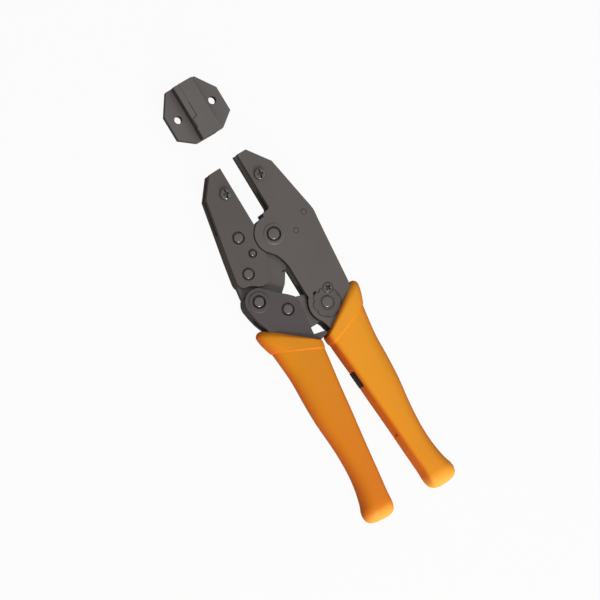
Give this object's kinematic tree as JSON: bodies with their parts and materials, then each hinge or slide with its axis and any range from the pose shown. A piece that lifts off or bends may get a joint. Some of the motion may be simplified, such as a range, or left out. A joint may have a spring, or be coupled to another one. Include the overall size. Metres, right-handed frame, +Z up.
{
  "type": "modular plug crimping tool",
  "caption": "Ratcheting hand crimper for modular plugs: long hooded orange grips, toggle-linked steel jaws with die slots, and its removable two-part die lying in line ahead.",
  "frame": {"origin": "middle of the bounding box in X and Y, on the surface that the tool lies on", "axes": "+Y runs along the tool from the grips to the jaw tips and on to the die, +X runs across the jaws towards the fixed jaw, +Z is up through the thickness of the tool that lies flat, out of its front"},
  "size_m": [0.0688, 0.2724, 0.017],
  "materials": {
    "plate_steel": "blackened steel sheet, matte on the faces and browner on the cut edges",
    "lever_steel": "blackened steel sheet with a thin film of oil",
    "spacer_steel": "blackened steel block, matte",
    "pin_steel": "blackened turned steel, smooth domed heads",
    "screw_steel": "blackened steel screw, satin",
    "plain_steel": "plain ground steel, satin",
    "spring_steel": "bright drawn spring wire",
    "die_steel": "blackened tool steel with ground parting faces",
    "grip_orange": "semi-gloss orange moulded plastic with a fine grain"
  },
  "bodies": {
    "fixed_frame": {"fixed_front_plate": "plate_steel", "fixed_back_plate": "plate_steel", "fixed_jaw_spacer": "spacer_steel", "flush_pins": "pin_steel", "tang_spacer": "spacer_steel", "tang_rivets": "plain_steel", "main_pivot_pin": "pin_steel", "frame_rings": "spring_steel", "adjuster_pin": "pin_steel", "adjuster_wheel": "lever_steel", "lock_screw": "screw_steel", "fixed_die_screw": "screw_steel", "spring_post": "plain_steel", "return_spring": "spring_steel", "fixed_grip": "grip_orange"},
    "moving_jaw": {"moving_front_plate": "plate_steel", "moving_back_plate": "plate_steel", "moving_lever": "lever_steel", "jaw_rivets": "pin_steel", "stop_pin": "pin_steel", "moving_die_screw": "screw_steel"},
    "moving_handle": {"handle_front_plate": "plate_steel", "handle_back_plate": "plate_steel", "handle_spacer": "spacer_steel", "handle_rivets": "plain_steel", "handle_pivot_pin": "pin_steel", "toggle_pin": "pin_steel", "handle_rings": "spring_steel", "pawl_pin": "plain_steel", "pawl_spring": "spring_steel", "moving_grip": "grip_orange"},
    "toggle_link": {"toggle_link": "lever_steel"},
    "pawl": {"ratchet_pawl": "plain_steel"},
    "die_nest": {"die_nest": "die_steel"},
    "die_punch": {"die_punch": "die_steel", "contact_blades": "plain_steel"}
  },
  "joints": [
    {"name": "jaw", "type": "hinge", "parent": "fixed_frame", "child": "moving_jaw", "pos_m": [0.00567, 0.0357, 0.0085], "axis": [0, 0, 1], "range_deg": [0, 16], "deforming": ["return_spring"]},
    {"name": "handle", "type": "hinge", "parent": "moving_jaw", "child": "moving_handle", "pos_m": [-0.02273, 0.0068, 0.0085], "axis": [0, 0, 1], "range_deg": [-56.1, 0]},
    {"name": "link", "type": "hinge", "parent": "fixed_frame", "child": "toggle_link", "pos_m": [0.01199, -0.01292, 0.0085], "axis": [0, 0, 1], "range_deg": [0, 31.9]},
    {"name": "pawl", "type": "hinge", "parent": "moving_handle", "child": "pawl", "pos_m": [-0.0212, -0.01799, 0.0085], "axis": [0, 0, 1], "range_deg": [0, 8], "stiffness_Nm_per_rad": 0.02, "deforming": ["pawl_spring"]},
    {"name": "nest_slide", "type": "slide", "parent": "fixed_frame", "child": "die_nest", "axis": [0, -1, 0], "range_m": [0, 0.032]},
    {"name": "punch_slide", "type": "slide", "parent": "moving_jaw", "child": "die_punch", "axis": [0, -1, 0], "range_m": [0, 0.032]}
  ],
  "couplings": [
    {"joint": "handle", "follows": "jaw", "ratio": -3.5},
    {"joint": "link", "follows": "jaw", "ratio": 1.99},
    {"joint": "punch_slide", "follows": "nest_slide", "ratio": 1}
  ]
}
